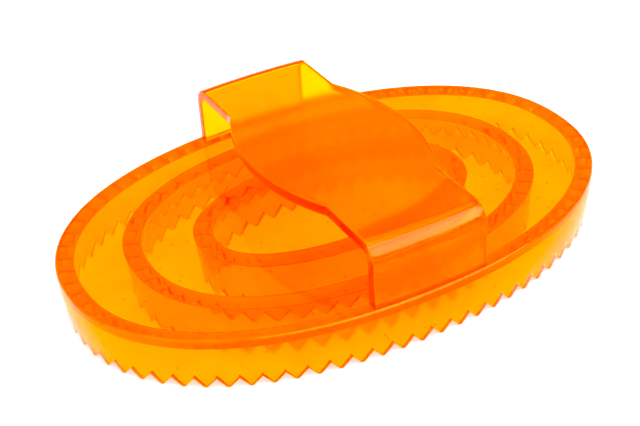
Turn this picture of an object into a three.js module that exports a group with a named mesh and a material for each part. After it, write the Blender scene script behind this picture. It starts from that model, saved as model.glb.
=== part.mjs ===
// Oval plastic curry comb: a flat back plate, three toothed rings under it and a hand strap over it.
// Millimetres. +X runs along the oval, +Y across it (the way the strap spans), +Z up.
// The origin lies under the middle of the oval, level with the tips of the teeth.

import * as THREE from 'three';

// Back plate
const BODY_LENGTH = 165;
const BODY_WIDTH = 107;
const BODY_HEIGHT = 16.7; // tooth tips to the top of the plate
const PLATE_THICKNESS = 2.5;
const RIM_RADIUS = 1; // rounding of the plate's top edge
const OVAL_POWER = 2.2; // 2 would be a plain ellipse; more is squarer
const PLATE_SEGMENTS = 144;
const RIM_STEPS = 3;

// Toothed rings, outermost first. Each outline is the ring's outer face where it meets the plate.
const RINGS = [
  { name: 'outer_tooth_ring', length: BODY_LENGTH, width: BODY_WIDTH, thickness: 4.8, teeth: 72 },
  { name: 'middle_tooth_ring', length: 125, width: 83, thickness: 4.3, teeth: 50 },
  { name: 'inner_tooth_ring', length: 85, width: 48, thickness: 4.6, teeth: 32 },
];
const OUTER_LEAN = 1.2; // how far a wall's outer face draws in from plate to tip
const INNER_LEAN = 0.6; // how far its inner face draws out
const TOOTH_DEPTH = 3.1;
const TIP_HALF_FLAT = 0.45;
const TIP_EASE = 0.5; // width and height of the eased shoulder beside the flat

// Hand strap
const STRAP_RISE = 18.8; // top of the plate to the top of the strap
const STRAP_THICKNESS = 3.1;
const STRAP_CORNER_RADIUS = 6;
const LEG_HALF_WIDTH = 17.5;
const PAD_HALF_WIDTH = 24.6;
const PAD_HALF_SPAN = 28.3; // centre line to the notch where the pad meets a narrow end
const FOOT_INSET = 1; // plate outline to the leg's outer face
const CORNER_STEPS = 6;
const PAD_STEPS = 16;
const STRAP_CROSS_STEPS = 8;

const PLATE_UNDERSIDE = BODY_HEIGHT - PLATE_THICKNESS;
const STRAP_TOP = BODY_HEIGHT + STRAP_RISE;
const AMBER = 0xff9a0a;

/** The oval outline, travelled counterclockwise seen from above. */
class Oval extends THREE.Curve {
  constructor(length, width) {
    super();
    this.halfLength = length / 2;
    this.halfWidth = width / 2;
    this.arcLengthDivisions = 1440;
  }

  getPoint(t, target = new THREE.Vector3()) {
    const angle = 2 * Math.PI * t;
    const along = Math.abs(Math.cos(angle) / this.halfLength) ** OVAL_POWER;
    const across = Math.abs(Math.sin(angle) / this.halfWidth) ** OVAL_POWER;
    const reach = (along + across) ** (-1 / OVAL_POWER);
    return target.set(reach * Math.cos(angle), reach * Math.sin(angle), 0);
  }

  outwardNormal(point) {
    const slope = (value, half) => Math.sign(value) * Math.abs(value / half) ** (OVAL_POWER - 1) / half;
    return new THREE.Vector3(slope(point.x, this.halfLength), slope(point.y, this.halfWidth), 0).normalize();
  }

  /** A point a fraction of the way round, moved inwards by inset and lifted to height z. */
  insetPoint(fraction, inset, z) {
    const point = this.getPointAt(fraction);
    return point.addScaledVector(this.outwardNormal(point), -inset).setZ(z);
  }

  /** How far the outline lies from the long axis at a given x. */
  halfWidthAt(x) {
    return this.halfWidth * (1 - Math.abs(x / this.halfLength) ** OVAL_POWER) ** (1 / OVAL_POWER);
  }
}

/** Triangles that fill a level section, facing up (1) or down (-1). */
function capFaces(section, facing, firstIndex) {
  const outline = section.map((point) => new THREE.Vector2(point.x, point.y));
  return THREE.ShapeUtils.triangulateShape(outline, []).flatMap(([a, b, c]) => {
    const area = THREE.ShapeUtils.area([outline[a], outline[b], outline[c]]);
    const ordered = Math.sign(area) === facing ? [a, b, c] : [a, c, b];
    return ordered.map((index) => index + firstIndex);
  });
}

/**
 * A closed skin over sections that all have the same number of points, each running counterclockwise
 * seen from the next section. With no caps the last section joins the first.
 */
function skin(sections, caps = []) {
  const size = sections[0].length;
  const spans = caps.length ? sections.length - 1 : sections.length;
  const indices = [];
  for (let row = 0; row < spans; row++) {
    const here = row * size;
    const next = ((row + 1) % sections.length) * size;
    for (let column = 0; column < size; column++) {
      const beside = (column + 1) % size;
      indices.push(here + column, here + beside, next + beside);
      indices.push(here + column, next + beside, next + column);
    }
  }
  if (caps.length) {
    const last = sections.length - 1;
    indices.push(...capFaces(sections[0], caps[0], 0));
    indices.push(...capFaces(sections[last], caps[1], last * size));
  }
  const geometry = new THREE.BufferGeometry().setFromPoints(sections.flat());
  geometry.setIndex(indices);
  geometry.computeVertexNormals();
  return geometry;
}

/** The flat plate: straight edge below, quarter-round edge above. */
function backPlate() {
  const oval = new Oval(BODY_LENGTH, BODY_WIDTH);
  const loop = (inset, z) =>
    Array.from({ length: PLATE_SEGMENTS }, (_, i) => oval.insetPoint(i / PLATE_SEGMENTS, inset, z));
  const sections = [loop(0, PLATE_UNDERSIDE)];
  for (let step = 0; step <= RIM_STEPS; step++) {
    const turn = (step / RIM_STEPS) * (Math.PI / 2);
    const inset = RIM_RADIUS * (1 - Math.cos(turn));
    sections.push(loop(inset, BODY_HEIGHT - RIM_RADIUS * (1 - Math.sin(turn))));
  }
  return skin(sections, [-1, 1]);
}

/** One tooth from valley to valley: [distance from the tip, height above the tip]. */
function toothProfile(pitch) {
  const shoulder = TIP_HALF_FLAT + TIP_EASE;
  return [
    [-pitch / 2, TOOTH_DEPTH],
    [-shoulder, TIP_EASE],
    [-TIP_HALF_FLAT, 0],
    [TIP_HALF_FLAT, 0],
    [shoulder, TIP_EASE],
  ];
}

/** A wall that follows an oval, with teeth cut in its lower edge and thinner there than at the plate. */
function toothedRing({ length, width, thickness, teeth }) {
  const oval = new Oval(length, width);
  const pitch = oval.getLength() / teeth;
  const sections = [];
  for (let tooth = 0; tooth < teeth; tooth++) {
    for (const [offset, height] of toothProfile(pitch)) {
      const fraction = (tooth + 0.5 + offset / pitch) / teeth;
      const drop = 1 - height / PLATE_UNDERSIDE;
      sections.push([
        oval.insetPoint(fraction, thickness, PLATE_UNDERSIDE),
        oval.insetPoint(fraction, 0, PLATE_UNDERSIDE),
        oval.insetPoint(fraction, OUTER_LEAN * drop, height),
        oval.insetPoint(fraction, thickness - INNER_LEAN * drop, height),
      ]);
    }
  }
  return skin(sections);
}

/** Half the strap's width at a distance from its middle: straight narrow ends, arc-sided pad between. */
function strapHalfWidth(y) {
  if (Math.abs(y) >= PAD_HALF_SPAN) return LEG_HALF_WIDTH;
  const bulge = PAD_HALF_WIDTH - LEG_HALF_WIDTH;
  const radius = (PAD_HALF_SPAN ** 2 + bulge ** 2) / (2 * bulge);
  return PAD_HALF_WIDTH - radius + Math.sqrt(radius ** 2 - y ** 2);
}

/**
 * Stations along one half of the strap's side view, foot first. Each has the outer face's place, the
 * direction that face looks in, and how fully the strap follows the plate's curved edge there.
 */
function halfArch(halfSpan) {
  const cornerY = halfSpan - STRAP_CORNER_RADIUS;
  const cornerZ = STRAP_TOP - STRAP_CORNER_RADIUS;
  const stations = [{ y: halfSpan, z: BODY_HEIGHT, facing: 0, follow: 1 }];
  for (let step = 0; step <= CORNER_STEPS; step++) {
    const facing = (step / CORNER_STEPS) * (Math.PI / 2);
    const y = cornerY + STRAP_CORNER_RADIUS * Math.cos(facing);
    stations.push({ y, z: cornerZ + STRAP_CORNER_RADIUS * Math.sin(facing), facing, follow: 1 });
  }
  for (let step = 0; step < PAD_STEPS / 2; step++) {
    const y = PAD_HALF_SPAN * (1 - step / (PAD_STEPS / 2));
    stations.push({ y, z: STRAP_TOP, facing: Math.PI / 2, follow: 0 });
  }
  return stations;
}

/** The strap: legs that follow the plate's curved edge, rounded corners and a flat top with a wide pad. */
function handStrap() {
  const oval = new Oval(BODY_LENGTH, BODY_WIDTH);
  const halfSpan = oval.halfWidth - FOOT_INSET;
  const farHalf = halfArch(halfSpan).map((station) => ({ ...station, side: 1 }));
  const middle = { y: 0, z: STRAP_TOP, facing: Math.PI / 2, follow: 0, side: 1 };
  const nearHalf = farHalf.map((station) => ({ ...station, side: -1 }));
  const sections = [...nearHalf, middle, ...farHalf.reverse()].map((station) => {
    const row = (depth) =>
      Array.from({ length: STRAP_CROSS_STEPS + 1 }, (_, i) => {
        const x = strapHalfWidth(station.y) * ((2 * i) / STRAP_CROSS_STEPS - 1);
        const curve = station.follow * (oval.halfWidthAt(x) - oval.halfWidth);
        const y = station.y + curve - depth * Math.cos(station.facing);
        return new THREE.Vector3(x, station.side * y, station.z - depth * Math.sin(station.facing));
      });
    return [...row(0), ...row(STRAP_THICKNESS).reverse()];
  });
  return skin(sections, [-1, -1]);
}

function piece(name, geometry) {
  const material = new THREE.MeshStandardMaterial({ color: AMBER, roughness: 0.12, metalness: 0 });
  const mesh = new THREE.Mesh(geometry, material);
  mesh.name = name;
  return mesh;
}

const curryComb = new THREE.Group();
curryComb.add(piece('back_plate', backPlate()));
for (const ring of RINGS) {
  curryComb.add(piece(ring.name, toothedRing(ring)));
}
curryComb.add(piece('hand_strap', handStrap()));

export default curryComb;
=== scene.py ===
"""Looks of the amber plastic curry comb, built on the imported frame, in metres and in its axes."""
import math

import bmesh
import bpy
import numpy as np
from mathutils import Matrix, Vector


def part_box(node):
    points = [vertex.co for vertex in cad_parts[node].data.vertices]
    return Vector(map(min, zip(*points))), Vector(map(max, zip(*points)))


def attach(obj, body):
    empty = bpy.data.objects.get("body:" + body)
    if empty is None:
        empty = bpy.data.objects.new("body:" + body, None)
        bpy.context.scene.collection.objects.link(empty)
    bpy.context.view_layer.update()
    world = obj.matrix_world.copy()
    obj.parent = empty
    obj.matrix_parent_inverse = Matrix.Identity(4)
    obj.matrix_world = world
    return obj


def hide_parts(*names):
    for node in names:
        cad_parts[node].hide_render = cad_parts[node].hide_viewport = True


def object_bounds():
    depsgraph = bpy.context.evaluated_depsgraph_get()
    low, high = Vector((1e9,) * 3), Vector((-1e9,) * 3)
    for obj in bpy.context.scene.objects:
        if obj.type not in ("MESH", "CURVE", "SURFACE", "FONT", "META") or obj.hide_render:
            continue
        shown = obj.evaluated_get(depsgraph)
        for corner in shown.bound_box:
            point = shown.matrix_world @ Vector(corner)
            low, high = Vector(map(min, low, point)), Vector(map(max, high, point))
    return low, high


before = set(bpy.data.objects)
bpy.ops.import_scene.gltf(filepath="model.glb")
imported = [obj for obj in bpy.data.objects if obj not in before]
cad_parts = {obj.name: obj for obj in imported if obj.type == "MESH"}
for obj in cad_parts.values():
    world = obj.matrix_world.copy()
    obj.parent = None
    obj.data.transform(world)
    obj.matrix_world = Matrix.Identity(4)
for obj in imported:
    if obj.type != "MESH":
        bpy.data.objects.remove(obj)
cad_low, cad_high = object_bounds()

MM = 0.001

# Sizes read from the frame
PLATE_LOW, PLATE_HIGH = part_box("back_plate")
_, STRAP_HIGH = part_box("hand_strap")
PLATE_UNDERSIDE = PLATE_LOW.z
PLATE_TOP = PLATE_HIGH.z
STRAP_TOP = STRAP_HIGH.z

# Plate
OVAL_POWER = 2.2
OVAL_SAMPLES = 2881
RIM_RADIUS = 1 * MM
RIM_STEPS = 6
PLATE_SEGMENTS = 288
SINK = 0.05 * MM  # how far the rings and the strap reach into the plate, so that no air gap is left

# Toothed rings: node, piece name, wall thickness and number of teeth
RINGS = (
    ("outer_tooth_ring", "outer_ring", 4.8 * MM, 72),
    ("middle_tooth_ring", "middle_ring", 4.3 * MM, 50),
    ("inner_tooth_ring", "inner_ring", 4.6 * MM, 32),
)
OUTER_LEAN = 1.2 * MM
INNER_LEAN = 0.6 * MM
TOOTH_DEPTH = 3.1 * MM
TIP_RADIUS = 0.8 * MM
VALLEY_SHARE = 0.03  # of the pitch, the half-width of the rounded valley
VALLEY_SOFTENING = 0.25  # how far the valley's shoulders drop, as a share of its half-width
EDGE_RADIUS = 0.55 * MM
ROOT_FILLET = 0.5 * MM
ROUND_STEPS = 3  # segments in each of a ring's roundings, and in half a tooth tip
WALL_START = TOOTH_DEPTH + 4 * EDGE_RADIUS  # height from which a ring's wall is plain up to its root
FLUSH_STEP = 0.02 * MM  # keeps the outer ring's hidden top edge just inside the plate's side

# Hand strap
STRAP_THICKNESS = 3.1 * MM
STRAP_CORNER_RADIUS = 6 * MM
STRAP_EDGE_RADIUS = 0.3 * MM
STRAP_EDGE_STEPS = 4
STRAP_CORNER_STEPS = 12
STRAP_SHOULDER_STEPS = 6  # from the rounded corner to the pad
STRAP_PAD_STEPS = 24
STRAP_CROSS_STEPS = 8
LEG_HALF_WIDTH = 17.5 * MM
PAD_HALF_WIDTH = STRAP_HIGH.x
PAD_HALF_SPAN = 28.3 * MM

SHARP_ANGLE = math.radians(32)  # between two faces, from which their edge isn't shaded smooth

# Plastic: what each surface lets through, and what each metre of plastic takes away
SURFACE_TINT = (1, 0.62, 0.05)
REFRACTIVE_INDEX = 1.5
POLISHED = 0.03  # roughness of the outside
PLATE_UNDERSIDE_FINISH = 0.05
STRAP_UNDERSIDE_FINISH = 0.13
OUTER_RING_INSIDE_FINISH = 0.2
ABSORPTION_PER_METRE = (1, 38, 2000)

# Flaws of the plastic. Each fade is the pair of values between which the flaw comes in or goes out:
# noise values, or for the specks distances from their middle as a share of their spacing.
CLOUD_SIZE = 14 * MM
CLOUD_FADE = (0.35, 0.7)
CLOUD_GREEN = 0.9  # share of the tint's green left where a cloud is deepest
STREAK_SIZE = 3 * MM
STREAK_STRETCH = (0.15, 1, 1)
STREAK_TURN = math.radians(20)
STREAK_FADE = (0.55, 0.75)
STREAK_STRENGTH = 0.5  # as a share of a cloud's
SPECK_SPACING = 4.5 * MM
SPECK_FADE = (0.05, 0.09)
SPECK_COLOUR = (0.4, 0.08, 0.02, 1)
WAVE_SIZE = 9 * MM
HAIRLINE_SIZE = 0.35 * MM
HAIRLINE_STRETCH = (0.04, 1, 1)
HAIRLINE_TURN = math.radians(-35)
HAIRLINE_FADE = (0.7, 0.8)
HAIRLINE_DEPTH = 0.06  # share of the bump's height
BUMP_HEIGHT = 0.03 * MM
HANDLED_SIZE = 20 * MM
HANDLED_FADE = (0.4, 0.7)
HANDLED = 0.03  # roughness that handling adds
SCUFFED = 0.06  # roughness that wear adds on the tooth tips
SCUFFED_HEIGHTS = (0.3 * MM, 1.5 * MM)  # where the scuffing starts to fade, and where it ends

# Camera, as seen from the target
CAMERA_TARGET = Vector((3.9 * MM, 16.1 * MM, 0))
CAMERA_AZIMUTH = math.radians(-27.75)
CAMERA_ELEVATION = math.radians(34.35)
CAMERA_ROLL = math.radians(-3.51)
CAMERA_DISTANCE = 0.4117
CAMERA_LENS = 75.4
CAMERA_CLIP_START = 0.01

# Studio light as radiance; directions are azimuth to the right of the front and elevation, in degrees
KEY_DIRECTION = (30, 50)
KEY_EDGE = (26, 34)  # the soft box's half-angle, where it starts and ends fading
KEY_LEVEL = 3.2
FILL_DIRECTION = (-100, 40)
FILL_EDGE = (25, 50)
FILL_LEVEL = 0.7
HORIZON_LEVEL = 1.1
ROOM_LEVEL = 0.75
HORIZON_EDGE = (0.1, 0.25)  # sines of the elevations between which the horizon fades to the room

# Floor
FLOOR_REACH = 6
FLOOR_GAP = 0.05 * MM
FLOOR_GREY = 0.6
FLOOR_GLOW = 0.42
FLOOR_ROUGHNESS = 0.9
FLOOR_SPECULAR = 0.1

# Display levels of red, green and blue, and light paths
BLACK_LEVEL = (0, 0.02, 0.12)
WHITE_LEVEL = (0.5, 0.83, 0.83)
CLEAR_BOUNCES = 40
DIFFUSE_BOUNCES = 4
INDIRECT_CLAMP = 6


class Oval:
    """A superellipse outline, travelled counterclockwise from +X; places are shares of its length."""

    def __init__(self, half_length, half_width):
        self.half = np.array([half_length, half_width])
        self.angles = np.linspace(0, 2 * np.pi, OVAL_SAMPLES)
        steps = np.linalg.norm(np.diff(self.on_angle(self.angles), axis=0), axis=1)
        self.travelled = np.concatenate([[0], np.cumsum(steps)])
        self.length = self.travelled[-1]

    def on_angle(self, angle):
        along = np.abs(np.cos(angle) / self.half[0]) ** OVAL_POWER
        across = np.abs(np.sin(angle) / self.half[1]) ** OVAL_POWER
        reach = (along + across) ** (-1 / OVAL_POWER)
        return np.stack([reach * np.cos(angle), reach * np.sin(angle)], axis=-1)

    def inset(self, share, distance):
        """The point a share of the way round, moved inwards by distance."""
        point = self.on_angle(np.interp(share % 1.0 * self.length, self.travelled, self.angles))
        normal = np.sign(point) * np.abs(point / self.half) ** (OVAL_POWER - 1) / self.half
        return point - normal / np.linalg.norm(normal) * distance

    def half_width_at(self, x):
        return self.half[1] * (1 - abs(x / self.half[0]) ** OVAL_POWER) ** (1 / OVAL_POWER)


def swept_mesh(name, sections, finish, closed):
    """A mesh skinned over sections of equal point count. An open one gets end faces.

    finish is the roughness of the moulded surface at every point.
    """
    size = len(sections[0])
    rows = len(sections) if closed else len(sections) - 1
    faces = []
    for row in range(rows):
        here = row * size
        there = (row + 1) % len(sections) * size
        for column in range(size):
            beside = (column + 1) % size
            faces.append((here + column, here + beside, there + beside, there + column))
    if not closed:
        last = (len(sections) - 1) * size
        faces.append(tuple(range(size)))
        faces.append(tuple(range(last, last + size)))
    mesh = bpy.data.meshes.new(name)
    mesh.from_pydata([tuple(point) for section in sections for point in section], [], faces)
    skin = bmesh.new()
    skin.from_mesh(mesh)
    bmesh.ops.recalc_face_normals(skin, faces=skin.faces)
    skin.to_mesh(mesh)
    skin.free()
    mesh.attributes.new("finish", "FLOAT", "POINT").data.foreach_set("value", finish)
    mesh.shade_smooth()
    mesh.set_sharp_from_angle(angle=SHARP_ANGLE)
    return mesh


def add_piece(mesh, node, material):
    """Put a mesh in the scene in place of a CAD node."""
    piece = bpy.data.objects.new(mesh.name, mesh)
    bpy.context.scene.collection.objects.link(piece)
    mesh.materials.append(material)
    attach(piece, "root")
    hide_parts(node)


def quarter(steps):
    """Pairs (1 - cos, sin) through a quarter turn."""
    turns = [math.pi / 2 * step / steps for step in range(steps + 1)]
    return [(1 - math.cos(turn), math.sin(turn)) for turn in turns]


def plate_mesh():
    """The flat oval plate: square lower edge, where the outer ring carries on, and round upper edge."""
    oval = Oval(PLATE_HIGH.x, PLATE_HIGH.y)
    # The first loop bounds the underside, which has a finish of its own.
    profile = [(EDGE_RADIUS, PLATE_UNDERSIDE), (0, PLATE_UNDERSIDE)]
    for inward, upward in quarter(RIM_STEPS):
        profile.append((inward * RIM_RADIUS, PLATE_TOP - RIM_RADIUS + upward * RIM_RADIUS))
    shares = [i / PLATE_SEGMENTS for i in range(PLATE_SEGMENTS)]
    sections = [[(*oval.inset(share, inset), z) for share in shares] for inset, z in profile]
    polished_points = PLATE_SEGMENTS * (len(sections) - 1)
    finish = [PLATE_UNDERSIDE_FINISH] * PLATE_SEGMENTS + [POLISHED] * polished_points
    return swept_mesh("plate_moulding", sections, finish, closed=False)


def tooth_profile(pitch):
    """One tooth from valley to valley, as (distance from the tip, height)."""
    half = pitch / 2
    slope = math.atan2(TOOTH_DEPTH, half)
    turns = [slope * step / ROUND_STEPS for step in range(-ROUND_STEPS, ROUND_STEPS + 1)]
    tip = [(TIP_RADIUS * math.sin(turn), TIP_RADIUS * (1 - math.cos(turn))) for turn in turns]
    round_half, round_height = tip[-1]
    rise = (TOOTH_DEPTH - round_height) / (half - round_half)
    valley = VALLEY_SHARE * pitch
    shoulder = half - valley
    shoulder_height = round_height + rise * (shoulder - round_half) - VALLEY_SOFTENING * valley
    return [(-half, TOOTH_DEPTH), (-shoulder, shoulder_height), *tip, (shoulder, shoulder_height)]


def ring_section(thickness, tooth_height, outermost):
    """Inset and height of the points round one slice of a ring's wall, from its inner top edge."""

    def outer(z):
        return OUTER_LEAN * (1 - z / PLATE_UNDERSIDE)

    def inner(z):
        return thickness - INNER_LEAN * (1 - z / PLATE_UNDERSIDE)

    top = PLATE_UNDERSIDE + SINK
    root = []
    edge = []
    for inward, upward in quarter(ROUND_STEPS):
        root.append((ROOT_FILLET * (1 - upward), PLATE_UNDERSIDE - ROOT_FILLET * inward))
        edge.append((EDGE_RADIUS * inward, tooth_height + EDGE_RADIUS * (1 - upward)))
    section = [(thickness + ROOT_FILLET, top)]
    if outermost:
        section += [(FLUSH_STEP, top), (0, PLATE_UNDERSIDE)]
    else:
        section += [(-ROOT_FILLET, top)]
        section += [(outer(z) - spread, z) for spread, z in reversed(root)]
    section += [(outer(WALL_START), WALL_START)]
    section += [(outer(z) + inward, z) for inward, z in edge]
    section += [(inner(z) - inward, z) for inward, z in reversed(edge)]
    section += [(inner(WALL_START), WALL_START)]
    section += [(inner(z) + spread, z) for spread, z in root]
    return section


def ring_mesh(node, name, thickness, teeth):
    """A wall along an oval, with teeth in its lower edge. The outermost one is satin inside."""
    _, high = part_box(node)
    oval = Oval(high.x, high.y)
    pitch = oval.length / teeth
    outermost = node == "outer_tooth_ring"
    sections = []
    finish = []
    for tooth in range(teeth):
        for offset, height in tooth_profile(pitch):
            share = (tooth + 0.5 + offset / pitch) / teeth
            section = ring_section(thickness, height, outermost)
            sections.append([(*oval.inset(share, inset), z) for inset, z in section])
            for inset, z in section:
                is_satin = outermost and inset > thickness / 2 and z > TOOTH_DEPTH
                finish.append(OUTER_RING_INSIDE_FINISH if is_satin else POLISHED)
    return swept_mesh(name, sections, finish, closed=True)


def strap_half_width(y):
    """Straight narrow ends with an arc-sided pad between them."""
    if abs(y) >= PAD_HALF_SPAN:
        return LEG_HALF_WIDTH
    bulge = PAD_HALF_WIDTH - LEG_HALF_WIDTH
    radius = (PAD_HALF_SPAN**2 + bulge**2) / (2 * bulge)
    return PAD_HALF_WIDTH - radius + math.sqrt(radius**2 - y**2)


def strap_stations():
    """From the far foot to the middle: place (y, z) of the outer face, the way it looks (0 outwards,
    a quarter turn up) and how fully the strap follows the plate's curved edge there.
    """
    half_span = STRAP_HIGH.y
    corner = half_span - STRAP_CORNER_RADIUS
    stations = [(half_span, PLATE_TOP - SINK, 0, 1)]
    for step in range(STRAP_CORNER_STEPS + 1):
        turn = math.pi / 2 * step / STRAP_CORNER_STEPS
        z = STRAP_TOP - STRAP_CORNER_RADIUS * (1 - math.sin(turn))
        stations.append((corner + STRAP_CORNER_RADIUS * math.cos(turn), z, turn, 1))
    for step in range(1, STRAP_SHOULDER_STEPS):
        along = step / STRAP_SHOULDER_STEPS
        y = corner + (PAD_HALF_SPAN - corner) * along
        stations.append((y, STRAP_TOP, math.pi / 2, 1 - along))
    for step in range(STRAP_PAD_STEPS):
        stations.append((PAD_HALF_SPAN * (1 - step / STRAP_PAD_STEPS), STRAP_TOP, math.pi / 2, 0))
    return stations


def strap_section():
    """Points round a slice of the strap: share of its half-width, inset from the side and depth."""
    turns = quarter(STRAP_EDGE_STEPS)
    corner = [(STRAP_EDGE_RADIUS * inward, STRAP_EDGE_RADIUS * (1 - upward)) for inward, upward in turns]
    top = [(step / STRAP_CROSS_STEPS, 0, 0) for step in range(1 - STRAP_CROSS_STEPS, STRAP_CROSS_STEPS)]
    right = [(1, inward, depth) for inward, depth in reversed(corner)]
    right += [(1, inward, STRAP_THICKNESS - depth) for inward, depth in corner]
    underside = [(-share, 0, STRAP_THICKNESS) for share, _, _ in top]
    left = [(-share, inward, STRAP_THICKNESS - depth) for share, inward, depth in right]
    return top + right + underside + left


def strap_mesh():
    """The strap: legs that follow the plate's curved edge, round corners, flat top with a wide pad."""
    oval = Oval(PLATE_HIGH.x, PLATE_HIGH.y)
    half = strap_stations()
    middle = (0, STRAP_TOP, math.pi / 2, 0)
    whole = [(1, *station) for station in half + [middle]]
    whole += [(-1, *station) for station in reversed(half)]
    sections = []
    for side, y, z, facing, follow in whole:
        section = []
        for share, inward, depth in strap_section():
            x = share * strap_half_width(y) - math.copysign(inward, share)
            curve = follow * (oval.half_width_at(x) - oval.half[1])
            across = y + curve - depth * math.cos(facing)
            section.append((x, side * across, z - depth * math.sin(facing)))
        sections.append(section)
    depths = [depth / STRAP_THICKNESS for _, _, depth in strap_section()]
    finish = [POLISHED + (STRAP_UNDERSIDE_FINISH - POLISHED) * depth for depth in depths]
    return swept_mesh("strap_moulding", sections, finish * len(sections), closed=False)


class NodeTree:
    """Short ways to add shader nodes and wire them up."""

    def __init__(self, tree):
        self.tree = tree

    def add(self, kind, **settings):
        node = self.tree.nodes.new(kind)
        for name, value in settings.items():
            setattr(node, name, value)
        return node

    def feed(self, socket, value):
        """Link an output to a socket, or set the socket to a plain value."""
        if isinstance(value, bpy.types.NodeSocket):
            self.tree.links.new(value, socket)
        else:
            socket.default_value = value

    def scaled(self, value, low, high, to_low, to_high):
        """A value eased from one range to another, and held at its ends."""
        node = self.add("ShaderNodeMapRange", interpolation_type="SMOOTHSTEP")
        sockets = ("Value", "From Min", "From Max", "To Min", "To Max")
        for name, number in zip(sockets, (value, low, high, to_low, to_high)):
            self.feed(node.inputs[name], number)
        return node.outputs["Result"]

    def math(self, operation, first, second):
        node = self.add("ShaderNodeMath", operation=operation)
        self.feed(node.inputs[0], first)
        self.feed(node.inputs[1], second)
        return node.outputs["Value"]

    def noise(self, place, size, detail=2.0, distortion=0.0):
        """Smooth noise around 0.5 whose blotches are about size across."""
        node = self.add("ShaderNodeTexNoise")
        self.feed(node.inputs["Vector"], place)
        node.inputs["Scale"].default_value = 1 / size
        node.inputs["Detail"].default_value = detail
        node.inputs["Distortion"].default_value = distortion
        return node.outputs["Fac"]

    def stretched(self, place, stretch, turn=0.0):
        """Places squeezed along each axis, so that noise on them comes out as long streaks."""
        node = self.add("ShaderNodeMapping")
        self.feed(node.inputs["Vector"], place)
        node.inputs["Rotation"].default_value = (0, 0, turn)
        node.inputs["Scale"].default_value = stretch
        return node.outputs["Vector"]

    def tinted(self, factor, colour, other):
        """One colour where factor is 0, the other where it is 1."""
        node = self.add("ShaderNodeMix", data_type="RGBA")
        self.feed(node.inputs["Factor"], factor)
        self.feed(node.inputs["A"], colour)
        self.feed(node.inputs["B"], other)
        return node.outputs["Result"]


def plastic_colour(nodes, place):
    """Clear amber with faint clouds and flow streaks from the mould, and a few tiny dark specks."""
    cloud = nodes.scaled(nodes.noise(place, CLOUD_SIZE, detail=3, distortion=0.8), *CLOUD_FADE, 0, 1)
    flow = nodes.stretched(place, STREAK_STRETCH, STREAK_TURN)
    streak = nodes.noise(flow, STREAK_SIZE, distortion=0.5)
    streak = nodes.scaled(streak, *STREAK_FADE, 0, STREAK_STRENGTH)
    deeper = nodes.math("MAXIMUM", cloud, streak)
    red, green, blue = SURFACE_TINT
    colour = nodes.tinted(deeper, (red, green, blue, 1), (red, green * CLOUD_GREEN, blue, 1))
    speck = nodes.add("ShaderNodeTexVoronoi")
    nodes.feed(speck.inputs["Vector"], place)
    speck.inputs["Scale"].default_value = 1 / SPECK_SPACING
    dark = nodes.scaled(speck.outputs["Distance"], *SPECK_FADE, 1, 0)
    return nodes.tinted(dark, colour, SPECK_COLOUR)


def plastic_bump(nodes, place):
    """Slightly wavy moulded skin with fine hairline scratches."""
    waves = nodes.noise(place, WAVE_SIZE)
    rubbed = nodes.stretched(place, HAIRLINE_STRETCH, HAIRLINE_TURN)
    hairlines = nodes.noise(rubbed, HAIRLINE_SIZE, detail=1)
    hairlines = nodes.scaled(hairlines, *HAIRLINE_FADE, 0, HAIRLINE_DEPTH)
    bump = nodes.add("ShaderNodeBump")
    bump.inputs["Strength"].default_value = 1
    bump.inputs["Distance"].default_value = BUMP_HEIGHT
    nodes.feed(bump.inputs["Height"], nodes.math("SUBTRACT", waves, hairlines))
    return bump.outputs["Normal"]


def worn_roughness(nodes, place):
    """The moulded finish, with duller patches from handling and scuffed tooth tips."""
    finish = nodes.add("ShaderNodeAttribute", attribute_name="finish").outputs["Fac"]
    patches = nodes.noise(place, HANDLED_SIZE, detail=4, distortion=0.4)
    handled = nodes.scaled(patches, *HANDLED_FADE, 0, HANDLED)
    height = nodes.add("ShaderNodeSeparateXYZ")
    nodes.feed(height.inputs["Vector"], place)
    scuffed = nodes.scaled(height.outputs["Z"], *SCUFFED_HEIGHTS, SCUFFED, 0)
    return nodes.math("ADD", nodes.math("ADD", handled, finish), scuffed)


def amber_plastic():
    material = bpy.data.materials.new("amber_plastic")
    material.use_nodes = True
    nodes = NodeTree(material.node_tree)
    nodes.tree.nodes.clear()
    output = nodes.add("ShaderNodeOutputMaterial")
    shader = nodes.add("ShaderNodeBsdfPrincipled")
    place = nodes.add("ShaderNodeTexCoord").outputs["Object"]
    nodes.feed(shader.inputs["Base Color"], plastic_colour(nodes, place))
    nodes.feed(shader.inputs["Roughness"], worn_roughness(nodes, place))
    nodes.feed(shader.inputs["Normal"], plastic_bump(nodes, place))
    shader.inputs["IOR"].default_value = REFRACTIVE_INDEX
    shader.inputs["Transmission Weight"].default_value = 1
    nodes.feed(output.inputs["Surface"], shader.outputs["BSDF"])
    absorption = nodes.add("ShaderNodeVolumeAbsorption")
    density = max(ABSORPTION_PER_METRE)
    kept = [1 - loss / density for loss in ABSORPTION_PER_METRE]
    absorption.inputs["Density"].default_value = density
    absorption.inputs["Color"].default_value = (*kept, 1)
    nodes.feed(output.inputs["Volume"], absorption.outputs["Volume"])
    return material


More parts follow.
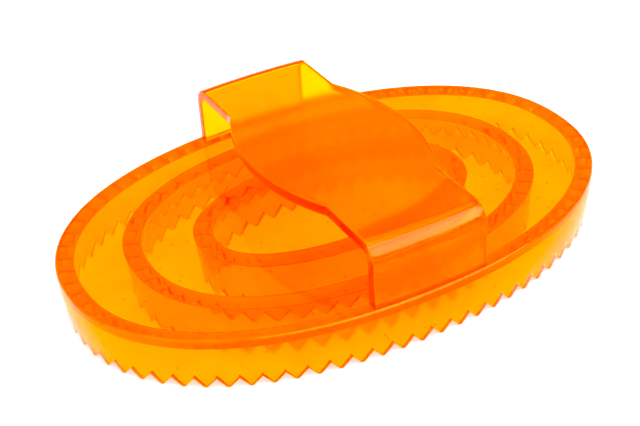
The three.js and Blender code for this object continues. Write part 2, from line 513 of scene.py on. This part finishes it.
def add_floor():
    corners = [(x * FLOOR_REACH, y * FLOOR_REACH, 0) for x, y in ((-1, -1), (1, -1), (1, 1), (-1, 1))]
    mesh = bpy.data.meshes.new("floor")
    mesh.from_pydata(corners, [], [(0, 1, 2, 3)])
    material = bpy.data.materials.new("floor_paper")
    material.use_nodes = True
    shader = material.node_tree.nodes["Principled BSDF"]
    shader.inputs["Base Color"].default_value = (FLOOR_GREY, FLOOR_GREY, FLOOR_GREY, 1)
    shader.inputs["Roughness"].default_value = FLOOR_ROUGHNESS
    shader.inputs["Specular IOR Level"].default_value = FLOOR_SPECULAR
    shader.inputs["Emission Color"].default_value = (1, 1, 1, 1)
    shader.inputs["Emission Strength"].default_value = FLOOR_GLOW
    mesh.materials.append(material)
    floor = bpy.data.objects.new("floor", mesh)
    floor.location.z = cad_low.z - FLOOR_GAP
    bpy.context.scene.collection.objects.link(floor)


def direction_of(azimuth, elevation):
    """The unit vector towards an azimuth to the right of the front (-Y) and an elevation (radians)."""
    level = math.cos(elevation)
    return Vector((math.sin(azimuth) * level, -math.cos(azimuth) * level, math.sin(elevation)))


def set_world():
    """An even white studio, with a large soft box high on the front right and a weaker one on the left."""
    world = bpy.data.worlds.new("studio")
    bpy.context.scene.world = world
    world.use_nodes = True
    nodes = NodeTree(world.node_tree)
    background = world.node_tree.nodes["Background"]
    background.inputs["Color"].default_value = (1, 1, 1, 1)
    direction = nodes.add("ShaderNodeTexCoord").outputs["Generated"]
    height = nodes.add("ShaderNodeSeparateXYZ")
    nodes.feed(height.inputs["Vector"], direction)

    def soft_box(towards, edge, level):
        """A round patch of light that fades out between two angles from its middle."""
        lean = nodes.add("ShaderNodeVectorMath", operation="DOT_PRODUCT")
        nodes.feed(lean.inputs[0], direction)
        lean.inputs[1].default_value = direction_of(*(math.radians(angle) for angle in towards))
        inner, outer = (math.cos(math.radians(angle)) for angle in edge)
        return nodes.scaled(lean.outputs["Value"], outer, inner, 0, level)

    room = nodes.scaled(height.outputs["Z"], *HORIZON_EDGE, HORIZON_LEVEL, ROOM_LEVEL)
    lamps = nodes.math(
        "ADD",
        soft_box(KEY_DIRECTION, KEY_EDGE, KEY_LEVEL),
        soft_box(FILL_DIRECTION, FILL_EDGE, FILL_LEVEL),
    )
    nodes.feed(background.inputs["Strength"], nodes.math("ADD", room, lamps))


def add_camera():
    back = direction_of(CAMERA_AZIMUTH, CAMERA_ELEVATION)
    right = Vector((0, 0, 1)).cross(back).normalized()
    tilted_right = math.cos(CAMERA_ROLL) * right + math.sin(CAMERA_ROLL) * back.cross(right)
    place = Matrix((tilted_right, back.cross(tilted_right), back)).transposed().to_4x4()
    place.translation = CAMERA_TARGET + back * CAMERA_DISTANCE
    data = bpy.data.cameras.new("camera")
    data.lens = CAMERA_LENS
    data.clip_start = CAMERA_CLIP_START
    camera = bpy.data.objects.new("camera", data)
    camera.matrix_world = place
    bpy.context.scene.collection.objects.link(camera)
    bpy.context.scene.camera = camera


def set_light_paths():
    """Enough bounces for the nested clear walls, and levels that keep the paper white."""
    scene = bpy.context.scene
    view = scene.view_settings
    view.view_transform = "Standard"
    view.use_curve_mapping = True
    view.curve_mapping.black_level = BLACK_LEVEL
    view.curve_mapping.white_level = WHITE_LEVEL
    view.curve_mapping.update()
    scene.cycles.max_bounces = CLEAR_BOUNCES
    scene.cycles.transmission_bounces = CLEAR_BOUNCES
    scene.cycles.glossy_bounces = CLEAR_BOUNCES
    scene.cycles.diffuse_bounces = DIFFUSE_BOUNCES
    scene.cycles.sample_clamp_indirect = INDIRECT_CLAMP


plastic = amber_plastic()
add_piece(plate_mesh(), "back_plate", plastic)
for node, name, thickness, teeth in RINGS:
    add_piece(ring_mesh(node, name, thickness, teeth), node, plastic)
add_piece(strap_mesh(), "hand_strap", plastic)
add_floor()
set_world()
add_camera()
set_light_paths()
